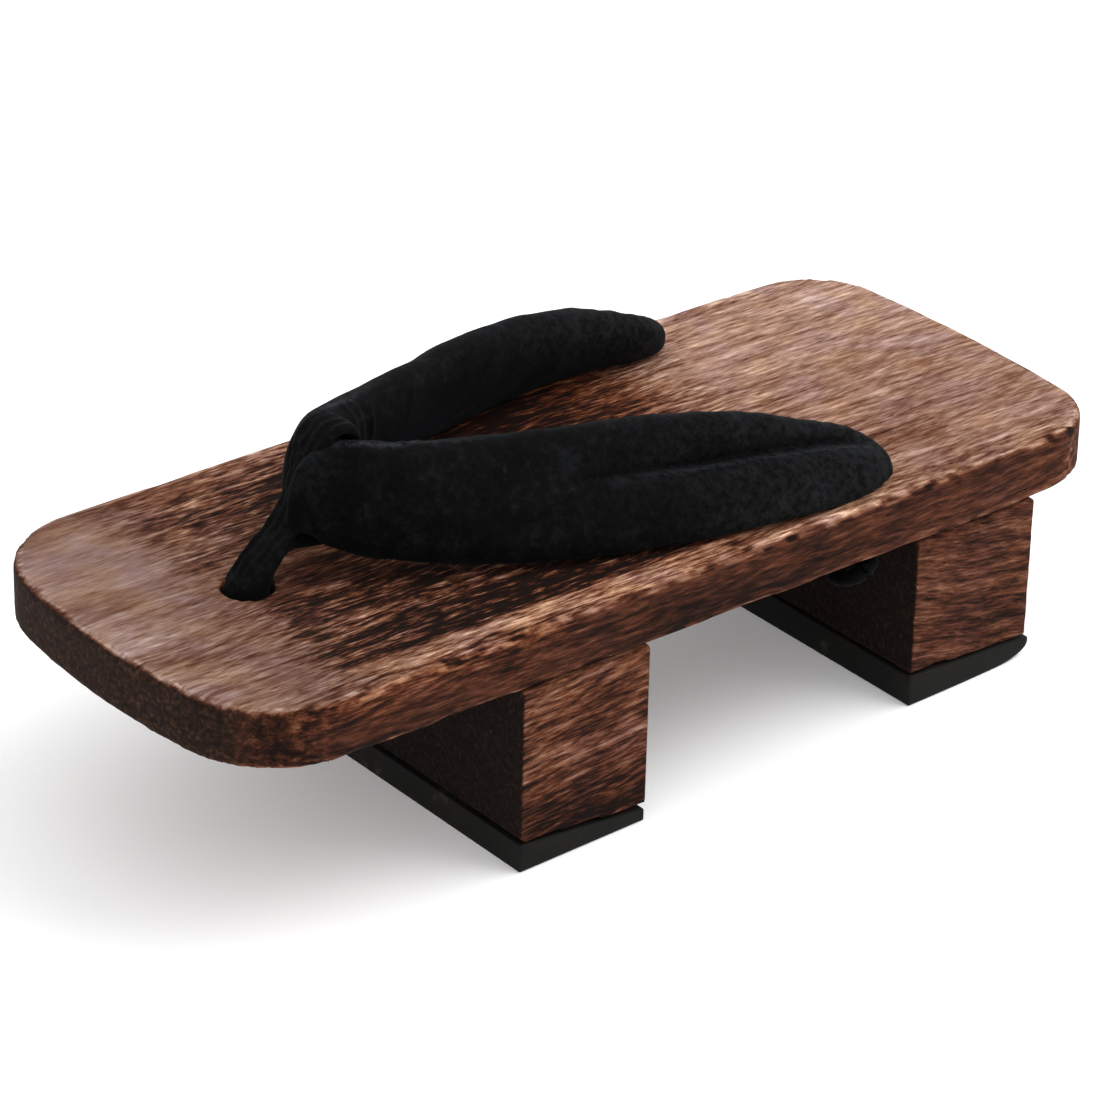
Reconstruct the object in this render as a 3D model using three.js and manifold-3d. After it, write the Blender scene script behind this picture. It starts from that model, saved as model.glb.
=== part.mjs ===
import * as THREE from 'three';
import { mergeVertices } from 'three/addons/utils/BufferGeometryUtils.js';
import Module from 'manifold-3d';

// One geta sandal in millimetres. Toe at -Y, heel at +Y, +Z up, standing on the floor at z = 0.
// The pieces are drawn in the board's own frame: the origin is the middle of its top face. The
// finished group is then tipped by the difference between its two teeth and set on the floor.

// Board
const boardLength = 251;
const boardWidth = 104;
const boardThick = 14.4;
const boardEdgeRound = 1.6;
const toeBow = 6.5;
const toeCornerRadius = 26;
const heelBow = 3;
const heelCornerRadius = 18;
const heelDrawIn = 2.5;
const heelDrawInLength = 56;

// Teeth and their rubber pads
const frontToothFromToe = 74.5;
const frontToothDepth = 34;
const frontToothHeight = 44.3;
const rearToothFromHeel = 26;
const rearToothDepth = 37;
const rearToothHeight = 41.5;
const frontPadAhead = 7.2;
const frontPadBehind = 3.2;
const rearPadAhead = 8;
const rearPadBehind = 5;
const padProud = 0.5;
const rearPadCurveLength = 10;
const rearPadCurveRise = 3.4;
const glueGap = 0.3;

// Holes through the board
const frontHoleFromToe = 39.5;
const rearHoleFromTooth = 12.5;
const rearHoleFromEdge = 11;
const frontHoleRadius = 5.8;
const rearHoleRadius = 4.2;

// Padded strap
const noseFromHole = 12.6;
const tipPastHole = 11.5;
const strapWidth = 32;
const strapThick = 13.5;
const strapRise = 19;
const strapSquareness = 2.35;
const creaseDepth = 4.6;
const touchGap = 0.3;

// Front thong
const thongWidth = 12.5;
const thongThick = 2.8;
const thongSquareness = 3.6;
const thongTail = 6;

// Cords that tie the strap and the thong down, each with a knot under the board
const cordRadius = 1.8;
const knotRadius = 4.8;
const knotEnd = 5.2;

const boardToe = -boardLength / 2;
const boardHeel = boardLength / 2;
const frontToothStart = boardToe + frontToothFromToe;
const rearToothStart = boardHeel - rearToothFromHeel - rearToothDepth;
const frontHoleY = boardToe + frontHoleFromToe;
const rearHoleY = rearToothStart - rearHoleFromTooth;
const rearHoleX = boardWidth / 2 - rearHoleFromEdge;
const noseY = frontHoleY + noseFromHole;

// Facets: steps round the board's corners, sides of its holes, steps of its rounded arris
const roundSteps = 9;
const holeSides = 20;
const arrisSteps = 3;

// Joined and cut solids
const wasm = await Module();
wasm.setup();

function solidOf(geometry) {
  const bare = geometry.clone();
  bare.deleteAttribute('normal');
  bare.deleteAttribute('uv');
  const merged = mergeVertices(bare, 1e-4);
  return new wasm.Manifold(new wasm.Mesh({
    numProp: 3,
    vertProperties: new Float32Array(merged.attributes.position.array),
    triVerts: new Uint32Array(merged.index.array),
  }));
}

function geometryOf(solid) {
  const mesh = solid.getMesh();
  const geometry = new THREE.BufferGeometry();
  geometry.setAttribute('position', new THREE.BufferAttribute(mesh.vertProperties, 3));
  geometry.setIndex(new THREE.BufferAttribute(mesh.triVerts, 1));
  geometry.computeVertexNormals();
  return geometry;
}

// Smooth value of one column of a table at a share of the way along it
function valueAt(rows, column, along) {
  let row = 0;
  while (row < rows.length - 2 && along > rows[row + 1].along) {
    row += 1;
  }
  const from = rows[row];
  const to = rows[row + 1];
  const before = rows[Math.max(row - 1, 0)];
  const after = rows[Math.min(row + 2, rows.length - 1)];
  const span = to.along - from.along;
  const slopeIn = (to[column] - before[column]) / (to.along - before.along);
  const slopeOut = (after[column] - from[column]) / (after.along - from.along);
  const t = (along - from.along) / span;
  const rise = to[column] - from[column];
  return from[column] + span * slopeIn * t * (1 - t) ** 2 + rise * t * t * (3 - 2 * t)
    - span * slopeOut * t * t * (1 - t);
}

// Cosine or sine of a squared circle: 2 is round, more is squarer
function squared(value, squareness) {
  return Math.sign(value) * Math.abs(value) ** (2 / squareness);
}

// Closed skin through rings of points, each ring listed the same way round
function skinOver(rings) {
  const sides = rings[0].length;
  const points = rings.flat();
  const faces = [];
  for (let ring = 0; ring < rings.length - 1; ring += 1) {
    for (let side = 0; side < sides; side += 1) {
      const next = (side + 1) % sides;
      const a = ring * sides + side;
      const b = ring * sides + next;
      faces.push(a, b, a + sides, b, b + sides, a + sides);
    }
  }
  const last = (rings.length - 1) * sides;
  for (let side = 1; side < sides - 1; side += 1) {
    faces.push(0, side + 1, side);
    faces.push(last, last + side, last + side + 1);
  }
  const geometry = new THREE.BufferGeometry().setFromPoints(points);
  geometry.setIndex(faces);
  return geometry;
}

// Plan outline of the board: a bowed toe and heel with a round corner at each end of both
function arcPoints(centre, radius, fromAngle, toAngle, steps) {
  return Array.from({ length: steps + 1 }, (_, step) => {
    const angle = fromAngle + (toAngle - fromAngle) * step / steps;
    return new THREE.Vector2(centre.x + radius * Math.cos(angle), centre.y + radius * Math.sin(angle));
  });
}

function endOutline(reach, bow, cornerRadius, grow) {
  const half = boardWidth / 2 + grow;
  const bowRadius = (half * half + bow * bow) / (2 * bow);
  const corner = cornerRadius + grow;
  const bowCentreY = reach + grow - bowRadius;
  const cornerX = half - corner;
  const cornerY = bowCentreY + Math.sqrt((bowRadius - corner) ** 2 - cornerX ** 2);
  const meet = Math.atan2(cornerY - bowCentreY, cornerX);
  const right = arcPoints({ x: cornerX, y: cornerY }, corner, 0, meet, roundSteps);
  const bowed = arcPoints({ x: 0, y: bowCentreY }, bowRadius, meet, Math.PI - meet, roundSteps);
  const left = arcPoints({ x: -cornerX, y: cornerY }, corner, Math.PI - meet, Math.PI, roundSteps);
  return [...right, ...bowed.slice(1, -1), ...left];
}

function boardOutline(grow) {
  const heel = endOutline(boardHeel, heelBow, heelCornerRadius, grow);
  const toe = endOutline(-boardToe, toeBow, toeCornerRadius, grow)
    .map((point) => new THREE.Vector2(-point.x, -point.y));
  const drawInStart = boardHeel - heelDrawInLength;
  const sideReach = heel[0].y - drawInStart;
  const side = Array.from({ length: roundSteps }, (_, step) => new THREE.Vector2(
    boardWidth / 2 + grow,
    drawInStart + sideReach * step / roundSteps,
  ));
  const farSide = side.map((point) => new THREE.Vector2(-point.x, point.y)).reverse();
  const drawnIn = [...side, ...heel, ...farSide].map((point) => {
    const share = (point.y - drawInStart) / heelDrawInLength;
    return new THREE.Vector2(point.x - Math.sign(point.x) * heelDrawIn * share * share, point.y);
  });
  return new THREE.Shape([...drawnIn, ...toe]);
}

function holeThroughBoard(x, y, radius) {
  const drill = new THREE.CylinderGeometry(radius, radius, boardThick * 2, holeSides);
  drill.rotateX(Math.PI / 2);
  drill.translate(x, y, -boardThick / 2);
  return solidOf(drill);
}

function boardSolid() {
  const plank = new THREE.ExtrudeGeometry(boardOutline(0), {
    depth: boardThick - 2 * boardEdgeRound,
    bevelEnabled: true,
    bevelThickness: boardEdgeRound,
    bevelSize: boardEdgeRound,
    bevelOffset: -boardEdgeRound,
    bevelSegments: arrisSteps,
  });
  plank.translate(0, 0, boardEdgeRound - boardThick);
  return solidOf(plank)
    .subtract(holeThroughBoard(0, frontHoleY, frontHoleRadius))
    .subtract(holeThroughBoard(-rearHoleX, rearHoleY, rearHoleRadius))
    .subtract(holeThroughBoard(rearHoleX, rearHoleY, rearHoleRadius));
}

// The floor seen from the board's frame: it meets the underside of both pads
const frontToothY = frontToothStart + frontToothDepth / 2;
const rearToothY = rearToothStart + rearToothDepth / 2;
const floorSlope = (frontToothHeight - rearToothHeight) / (rearToothY - frontToothY);

function floorAt(y) {
  return -boardThick - frontToothHeight + floorSlope * (y - frontToothY);
}

// A block across the board, cut to the board's outline, from one side profile
function blockAcross(profile, grow) {
  const span = boardWidth + 2 * grow + boardThick;
  const block = new THREE.ExtrudeGeometry(new THREE.Shape(profile), { depth: span, bevelEnabled: false });
  block.applyMatrix4(new THREE.Matrix4().makeBasis(
    new THREE.Vector3(0, 1, 0),
    new THREE.Vector3(0, 0, 1),
    new THREE.Vector3(1, 0, 0),
  ));
  block.translate(-span / 2, 0, 0);
  const tall = boardThick + frontToothHeight + rearToothHeight;
  const prism = new THREE.ExtrudeGeometry(boardOutline(grow), { depth: tall, bevelEnabled: false });
  prism.translate(0, 0, -tall);
  return solidOf(block).intersect(solidOf(prism));
}

function toothSolid(start, depth, padAhead, padBehind) {
  const end = start + depth;
  return blockAcross([
    new THREE.Vector2(start, floorAt(start) + padAhead),
    new THREE.Vector2(end, floorAt(end) + padBehind),
    new THREE.Vector2(end, -boardThick - glueGap),
    new THREE.Vector2(start, -boardThick - glueGap),
  ], 0);
}

// A wedge of rubber, thicker ahead, whose underside may curve up towards the heel
function padSolid(start, depth, padAhead, padBehind, curveLength, curveRise) {
  const low = start - padProud;
  const high = start + depth + padProud;
  const underside = Array.from({ length: roundSteps + 1 }, (_, step) => {
    const share = step / roundSteps;
    const y = high - curveLength + curveLength * Math.sin(share * Math.PI / 2);
    return new THREE.Vector2(y, floorAt(y) + curveRise * (1 - Math.cos(share * Math.PI / 2)));
  });
  return blockAcross([
    new THREE.Vector2(low, floorAt(low)),
    ...(curveLength > 0 ? underside : [new THREE.Vector2(high, floorAt(high))]),
    new THREE.Vector2(high, floorAt(high) + padBehind - glueGap),
    new THREE.Vector2(low, floorAt(low) + padAhead - glueGap),
  ], padProud);
}

// Padded strap. Each row is a section of one arm, from the nose to the rounded rear tip.
// along: share of the arm's length; out: share of the rear holes' distance from the middle;
// lift, wide, thick: shares of the strap's rise, width and thickness; lean: degrees that the top
// leans inwards; crease: share of the depth of the fold in the outer face.
const strapRows = [
  { along: 0.00, out: -0.03, lift: 0.97, wide: 0.76, thick: 0.78, lean: 0, crease: 0 },
  { along: 0.04, out: 0.10, lift: 0.95, wide: 0.80, thick: 0.90, lean: 2, crease: 0 },
  { along: 0.10, out: 0.25, lift: 0.90, wide: 0.82, thick: 1.00, lean: 6, crease: 0 },
  { along: 0.17, out: 0.375, lift: 0.84, wide: 0.86, thick: 1.00, lean: 14, crease: 0 },
  { along: 0.25, out: 0.49, lift: 0.79, wide: 0.89, thick: 1.00, lean: 22, crease: 0.10 },
  { along: 0.39, out: 0.66, lift: 0.73, wide: 0.91, thick: 1.00, lean: 29, crease: 0.40 },
  { along: 0.54, out: 0.80, lift: 0.66, wide: 0.92, thick: 1.00, lean: 33, crease: 0.75 },
  { along: 0.69, out: 0.90, lift: 0.54, wide: 0.85, thick: 1.00, lean: 38, crease: 1.00 },
  { along: 0.84, out: 0.965, lift: 0.33, wide: 0.74, thick: 0.96, lean: 44, crease: 1.00 },
  { along: 0.93, out: 0.965, lift: 0.19, wide: 0.66, thick: 0.90, lean: 50, crease: 0.60 },
  { along: 1.00, out: 0.955, lift: 0.13, wide: 0.58, thick: 0.84, lean: 54, crease: 0.15 },
];
const strapSides = 28;
const strapSteps = 34;
const creaseAngle = 1.346;
const creaseSpread = 0.24;
const noseRound = 0.04;
const tipRound = 0.1;
const endFlat = 0.05;
const aheadShare = 0.005;

function armCentre(along) {
  const length = rearHoleY + tipPastHole - noseY;
  return new THREE.Vector3(
    rearHoleX * valueAt(strapRows, 'out', along),
    noseY + length * along,
    strapRise * valueAt(strapRows, 'lift', along),
  );
}

function endRounding(along) {
  const fromNose = Math.min(along / noseRound, 1);
  const fromTip = Math.min((1 - along) / tipRound, 1);
  const round = Math.min(fromNose, fromTip);
  return Math.max(Math.sqrt(1 - (1 - round) ** 2), endFlat);
}

function armRing(along) {
  const ahead = armCentre(Math.min(along + aheadShare, 1));
  const behind = armCentre(Math.max(along - aheadShare, 0));
  const run = ahead.sub(behind).normalize();
  const side = new THREE.Vector3(run.y, -run.x, 0).normalize();
  const above = new THREE.Vector3().crossVectors(side, run);
  const lean = THREE.MathUtils.degToRad(valueAt(strapRows, 'lean', along));
  const across = above.clone().multiplyScalar(Math.cos(lean)).addScaledVector(side, -Math.sin(lean));
  const outward = side.clone().multiplyScalar(Math.cos(lean)).addScaledVector(above, Math.sin(lean));
  const close = endRounding(along);
  const halfWide = strapWidth * valueAt(strapRows, 'wide', along) * close / 2;
  const halfThick = strapThick * valueAt(strapRows, 'thick', along) * close / 2;
  const crease = creaseDepth * valueAt(strapRows, 'crease', along) * close;
  const centre = armCentre(along);
  return Array.from({ length: strapSides }, (_, count) => {
    const angle = 2 * Math.PI * count / strapSides;
    const fromCrease = (angle - creaseAngle) / creaseSpread;
    const pinch = crease * Math.exp(-fromCrease * fromCrease);
    const point = centre.clone()
      .addScaledVector(across, halfWide * squared(Math.cos(angle), strapSquareness))
      .addScaledVector(outward, halfThick * squared(Math.sin(angle), strapSquareness) - pinch);
    point.z = Math.max(point.z, touchGap);
    return point;
  });
}

// The rings lie closer together towards both round ends
function armSolid() {
  const rings = Array.from({ length: strapSteps + 1 }, (_, step) => (
    armRing(0.5 - 0.5 * Math.cos(Math.PI * step / strapSteps))
  ));
  return solidOf(skinOver(rings));
}

// Front thong: a folded band that comes up through the front hole, passes over the joined nose,
// goes down between the arms and runs back under the nose to itself. The padding is pinched in
// under the band and stands clear of it for the pinch's reach.
// along: share of the band; forward: share of the way from the hole to the nose; back: share of
// the loop's depth; z: share of the crest's height, with the tail's end set apart; wide, thick:
// shares of the band's section.
const loopDepth = 11;
const pinchReach = 4;
const noseTop = armCentre(noseRound).z + strapWidth * valueAt(strapRows, 'wide', noseRound) / 2;
const thongCrest = noseTop + thongThick / 2 + touchGap;
const thongRows = [
  { along: 0.00, forward: 0.00, back: 0.00, z: -thongTail / thongCrest, wide: 0.78, thick: 3.0 },
  { along: 0.08, forward: 0.00, back: 0.00, z: 0.00, wide: 0.82, thick: 2.9 },
  { along: 0.16, forward: 0.26, back: 0.00, z: 0.16, wide: 0.90, thick: 1.9 },
  { along: 0.24, forward: 0.58, back: 0.00, z: 0.28, wide: 0.88, thick: 1.3 },
  { along: 0.32, forward: 0.93, back: 0.00, z: 0.42, wide: 0.76, thick: 1.1 },
  { along: 0.40, forward: 1.10, back: 0.00, z: 0.58, wide: 0.68, thick: 1.0 },
  { along: 0.48, forward: 1.22, back: 0.00, z: 0.76, wide: 0.68, thick: 1.0 },
  { along: 0.56, forward: 1.31, back: 0.04, z: 0.91, wide: 0.76, thick: 1.0 },
  { along: 0.64, forward: 1.38, back: 0.32, z: 1.00, wide: 0.82, thick: 1.0 },
  { along: 0.72, forward: 1.38, back: 0.66, z: 0.98, wide: 0.74, thick: 1.0 },
  { along: 0.80, forward: 1.38, back: 0.90, z: 0.84, wide: 0.58, thick: 1.0 },
  { along: 0.90, forward: 1.38, back: 1.00, z: 0.52, wide: 0.48, thick: 1.0 },
  { along: 1.00, forward: 1.38, back: 0.98, z: 0.16, wide: 0.50, thick: 1.0 },
];
const underRows = [
  { along: 0.00, forward: 1.38, back: 0.99, z: 0.24, wide: 0.50, thick: 1.0 },
  { along: 0.20, forward: 1.38, back: 0.86, z: 0.16, wide: 0.56, thick: 1.0 },
  { along: 0.50, forward: 1.38, back: 0.42, z: 0.15, wide: 0.66, thick: 1.0 },
  { along: 0.80, forward: 1.04, back: 0.00, z: 0.20, wide: 0.74, thick: 1.0 },
  { along: 1.00, forward: 0.53, back: 0.00, z: 0.27, wide: 0.80, thick: 1.0 },
];

const bandSides = 12;
const bandSteps = 34;
const underSteps = 10;
const bandAhead = 0.01;

function bandPoint(rows, along) {
  return new THREE.Vector3(
    0,
    frontHoleY + noseFromHole * valueAt(rows, 'forward', along)
      + loopDepth * valueAt(rows, 'back', along),
    thongCrest * valueAt(rows, 'z', along),
  );
}

function bandSolid(rows, steps, grow, outside) {
  const rings = Array.from({ length: steps + 1 }, (_, step) => {
    const along = step / steps;
    const ahead = bandPoint(rows, Math.min(along + bandAhead, 1));
    const run = ahead.sub(bandPoint(rows, Math.max(along - bandAhead, 0))).normalize();
    const out = new THREE.Vector3(0, -run.z, run.y);
    const halfWide = thongWidth * valueAt(rows, 'wide', along) / 2 + grow;
    const halfThick = thongThick * valueAt(rows, 'thick', along) / 2 + grow;
    return Array.from({ length: bandSides }, (__, count) => {
      const angle = 2 * Math.PI * count / bandSides;
      const across = -halfWide * squared(Math.cos(angle), thongSquareness);
      const outer = count > 0 && count < bandSides / 2 ? outside : 0;
      return bandPoint(rows, along)
        .add(new THREE.Vector3(across, 0, 0))
        .addScaledVector(out, halfThick * Math.sin(angle) + outer);
    });
  });
  return solidOf(skinOver(rings));
}

function thongSolid(grow, outside) {
  return bandSolid(thongRows, bandSteps, grow, outside)
    .add(bandSolid(underRows, underSteps, grow, outside));
}

// Cord down through a hole, with an overhand knot drawn up under the board
const knotSteps = 36;
const knotSides = 7;
const cordSides = 12;

function cordSolid(x, y, top) {
  const knotZ = -boardThick - touchGap - knotRadius / 2 - cordRadius;
  const bottom = knotZ - knotEnd;
  const knot = new THREE.TorusKnotGeometry(knotRadius, cordRadius, knotSteps, knotSides, 2, 3);
  knot.translate(x, y, knotZ);
  const cord = new THREE.CylinderGeometry(cordRadius, cordRadius, top - bottom, cordSides);
  cord.rotateX(Math.PI / 2);
  cord.translate(x, y, (top + bottom) / 2);
  return solidOf(knot).add(solidOf(cord));
}

// The assembled shoe
const wood = { color: 0x6b4630, roughness: 0.7 };
const rubber = { color: 0x161616, roughness: 0.85 };
const cloth = { color: 0x15161a, roughness: 0.95 };
const shoe = new THREE.Group();

function place(name, solid, finish) {
  const mesh = new THREE.Mesh(
    geometryOf(solid),
    new THREE.MeshStandardMaterial({ ...finish, metalness: 0 }),
  );
  mesh.name = name;
  shoe.add(mesh);
}

const arm = armSolid();
const strap = arm.add(arm.mirror([1, 0, 0])).subtract(thongSolid(touchGap, pinchReach));
place('board', boardSolid(), wood);
const toothFront = [frontToothStart, frontToothDepth, frontPadAhead, frontPadBehind];
const toothRear = [rearToothStart, rearToothDepth, rearPadAhead, rearPadBehind];
place('tooth_front', toothSolid(...toothFront), wood);
place('tooth_rear', toothSolid(...toothRear), wood);
place('pad_front', padSolid(...toothFront, 0, 0), rubber);
place('pad_rear', padSolid(...toothRear, rearPadCurveLength, rearPadCurveRise), rubber);
place('strap', strap, cloth);
place('thong', thongSolid(0, 0), cloth);
place('cord_front', cordSolid(0, frontHoleY, -thongTail - touchGap), cloth);
place('cord_left', cordSolid(rearHoleX, rearHoleY, 0), cloth);
place('cord_right', cordSolid(-rearHoleX, rearHoleY, 0), cloth);

// Toe up by the difference between the teeth, then down onto the floor
shoe.rotation.x = -Math.atan(floorSlope);
shoe.updateMatrixWorld(true);
const reach = new THREE.Box3().setFromObject(shoe, true);
shoe.position.set(0, -(reach.min.y + reach.max.y) / 2, -reach.min.z);

const geta = new THREE.Group();
geta.add(shoe);

export default geta;
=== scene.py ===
import math

import bmesh
import bpy
import numpy as np
from mathutils import Matrix, Vector, noise


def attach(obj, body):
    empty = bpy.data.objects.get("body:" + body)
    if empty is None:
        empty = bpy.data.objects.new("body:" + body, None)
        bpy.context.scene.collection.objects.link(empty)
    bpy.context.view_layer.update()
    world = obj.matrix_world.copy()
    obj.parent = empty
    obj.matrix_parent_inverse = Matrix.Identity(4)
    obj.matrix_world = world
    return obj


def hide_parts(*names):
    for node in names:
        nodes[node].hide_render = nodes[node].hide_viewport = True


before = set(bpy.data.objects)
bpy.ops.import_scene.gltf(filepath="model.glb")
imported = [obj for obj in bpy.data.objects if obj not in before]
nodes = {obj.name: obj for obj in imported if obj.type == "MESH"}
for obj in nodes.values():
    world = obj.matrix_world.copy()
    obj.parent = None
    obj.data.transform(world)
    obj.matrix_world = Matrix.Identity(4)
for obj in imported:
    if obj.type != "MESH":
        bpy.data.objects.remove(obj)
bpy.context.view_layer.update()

# The board is one plank of soft, straight-grained wood. It is scorched and then scrubbed lengthwise
# with a wire brush, which wears the soft wood away and leaves the hard rings standing as ridges.
# The shoe is worked on in the board's own frame: the middle of its top face, with the toe at -Y.
MM = 0.001
weld_gap = 0.01 * MM
skin_step = 1.0 * MM
ring_gap = 2.8 * MM
board_ring_run = 40 * MM
brush_depth = 0.4 * MM
board_seed = 11
board_wear = {"reach": 4 * MM, "depth": 0.6 * MM, "seed": 41}
board_top = max(nodes["board"].data.polygons, key=lambda face: face.area * face.normal.z)
toe_lift = math.atan2(board_top.normal.y, board_top.normal.z)
board_turn = Matrix.Rotation(-toe_lift, 4, "X")
board_corners = [board_turn.inverted() @ vertex.co for vertex in nodes["board"].data.vertices]
board_middle = (min(p.y for p in board_corners) + max(p.y for p in board_corners)) / 2
board_top_z = max(p.z for p in board_corners)
board_place = board_turn @ Matrix.Translation((0, board_middle, board_top_z))
board_thick = board_top_z - min(p.z for p in board_corners)


def in_board_frame(node_name, piece_name):
    """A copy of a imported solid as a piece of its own, with its points in the board's frame"""
    mesh = nodes[node_name].data.copy()
    mesh.transform(board_place.inverted())
    shape = bmesh.new()
    shape.from_mesh(mesh)
    bmesh.ops.remove_doubles(shape, verts=shape.verts, dist=weld_gap)
    shape.to_mesh(mesh)
    shape.free()
    piece = bpy.data.objects.new(piece_name, mesh)
    piece.matrix_world = board_place
    bpy.context.scene.collection.objects.link(piece)
    return piece


def keep_modifiers(piece):
    """The piece's mesh becomes the one that its modifiers give"""
    bpy.context.view_layer.update()
    seen = piece.evaluated_get(bpy.context.evaluated_depsgraph_get())
    mesh = bpy.data.meshes.new_from_object(seen)
    piece.modifiers.clear()
    piece.data = mesh


def even_skin(piece, step):
    """An even skin of small faces over the piece"""
    remesh = piece.modifiers.new("even skin", "REMESH")
    remesh.mode = "VOXEL"
    remesh.voxel_size = step
    keep_modifiers(piece)
    for face in piece.data.polygons:
        face.use_smooth = True


def points_of(mesh, kind="co"):
    """The places of the mesh's points, or their normals"""
    values = np.zeros(len(mesh.vertices) * 3, np.float32)
    mesh.vertices.foreach_get(kind, values)
    return values.reshape(-1, 3).astype(float)


def set_points(mesh, points):
    """Moves the mesh's points to these places"""
    mesh.vertices.foreach_set("co", points.astype(np.float32).ravel())
    mesh.update()


def noise_at(points, across, along, seed):
    """Noise at each point, with patches that are longer along the grain than across it"""
    scale = np.array([1 / across, 1 / along, 1 / across])
    return np.array([noise.noise(Vector(p) + Vector((seed, 0, 0))) for p in points * scale])


def fade(value, low, high):
    """0 below low, 1 above high and smooth between them"""
    share = np.clip((value - low) / (high - low), 0, 1)
    return share * share * (3 - 2 * share)


def stretch(value, begins, full, thins, gone):
    """1 between full and thins, and 0 before it begins and after it is gone"""
    return fade(value, begins, full) * (1 - fade(value, thins, gone))


def brush_wood(piece, ring_run, grain_drop, seed):
    """Wears grooves along the grain, less so on end grain and where a face meets the next"""
    points = points_of(piece.data)
    normals = points_of(piece.data, "normal")
    turn = np.array(Matrix.Rotation(grain_drop, 3, "X"))
    grain = points @ turn.T
    sway = 1.6 * MM
    drift = noise_at(grain, 30 * MM, 60 * MM, seed + 3)[:, None] * np.array([sway, 0, sway])
    rings = noise_at(grain + drift, ring_gap, ring_run, seed)
    rings += 0.5 * noise_at(grain + drift, ring_gap / 2, ring_run / 2, seed + 7)
    end_grain = fade(np.abs(normals[:, 1]), 0.5, 0.9)
    on_edge = fade(np.sort(np.abs(normals), axis=1)[:, 1], 0.15, 0.5)
    spared_on_end_grain, spared_on_edge, hard_ring = 0.85, 0.6, 0.25
    groove = np.clip(hard_ring - rings, 0, 1) * brush_depth
    groove *= 1 - spared_on_end_grain * end_grain
    groove *= 1 - spared_on_edge * on_edge
    set_points(piece.data, points - normals * groove[:, None])


def wear_arris(piece, reach, depth, seed):
    """Rubs the lengthwise edges of the piece down in uneven patches"""
    points = points_of(piece.data)
    normals = points_of(piece.data, "normal")
    tilt = np.sort(np.abs(normals), axis=1)
    lengthwise = 1 - fade(np.abs(normals[:, 1]), 0.3, 0.6)
    on_edge = fade(tilt[:, 1], 0.12, 0.55) * lengthwise
    patches = fade(noise_at(points, reach, reach * 3, seed), -0.1, 0.5)
    set_points(piece.data, points - normals * (on_edge * patches * depth)[:, None])


def keep_look(piece, tone, contrast, warmth):
    """Stores how pale, how streaky and how orange the wood is at each point"""
    stored = piece.data.color_attributes.new("look", "FLOAT_COLOR", "POINT")
    values = np.ones((len(tone), 4), np.float32)
    values[:, 0] = np.clip(tone, 0, 1)
    values[:, 1] = contrast
    values[:, 2] = warmth
    stored.data.foreach_set("color", values.ravel())


def add_node(tree, kind, inputs=None, **settings):
    """A node in a material or a group, with its sockets set to values or linked"""
    made = tree.nodes.new(kind)
    for name, value in settings.items():
        setattr(made, name, value)
    for name, value in (inputs or {}).items():
        if isinstance(value, bpy.types.NodeSocket):
            tree.links.new(value, made.inputs[name])
        else:
            made.inputs[name].default_value = value
    return made


def ramp(tree, factor, stops):
    """Colours along a value from 0 to 1, each stop a place and a colour"""
    made = add_node(tree, "ShaderNodeValToRGB", {"Fac": factor})
    elements = made.color_ramp.elements
    while len(elements) < len(stops):
        elements.new(0.5)
    for element, (place, colour) in zip(elements, stops):
        element.position = place
        element.color = (*colour, 1)
    return made.outputs["Color"]


def math_node(tree, operation, first, second, clamp=False):
    """One step of arithmetic on two values"""
    made = add_node(tree, "ShaderNodeMath", {0: first, 1: second}, operation=operation, use_clamp=clamp)
    return made.outputs[0]


def mix_colours(tree, factor, first, second, blend="MIX"):
    """Two colours mixed, with the Mix node's colour sockets given by their numbers"""
    made = add_node(tree, "ShaderNodeMix", data_type="RGBA", blend_type=blend)
    for socket, value in {0: factor, 6: first, 7: second}.items():
        if isinstance(value, bpy.types.NodeSocket):
            tree.links.new(value, made.inputs[socket])
        else:
            made.inputs[socket].default_value = value
    return made.outputs[2]


def tinted(tree, colour, tint, share=1.0):
    """A colour multiplied by a tint, in full or by a share of it"""
    return mix_colours(tree, share, colour, tint, "MULTIPLY")


def smooth_between(tree, value, low, high):
    """A mask that is 0 at low and 1 at high"""
    made = add_node(tree, "ShaderNodeMapRange", {"Value": value, "From Min": low, "From Max": high},
                    interpolation_type="SMOOTHSTEP")
    return made.outputs["Result"]


def new_group(name, inputs, outputs):
    """An empty node group with its named inputs and outputs"""
    tree = bpy.data.node_groups.new(name, "ShaderNodeTree")
    for socket_name, kind, default in inputs:
        socket = tree.interface.new_socket(socket_name, in_out="INPUT", socket_type=kind)
        if default is not None:
            socket.default_value = default
    for socket_name, kind in outputs:
        tree.interface.new_socket(socket_name, in_out="OUTPUT", socket_type=kind)
    return tree, tree.nodes.new("NodeGroupInput"), tree.nodes.new("NodeGroupOutput")


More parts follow.
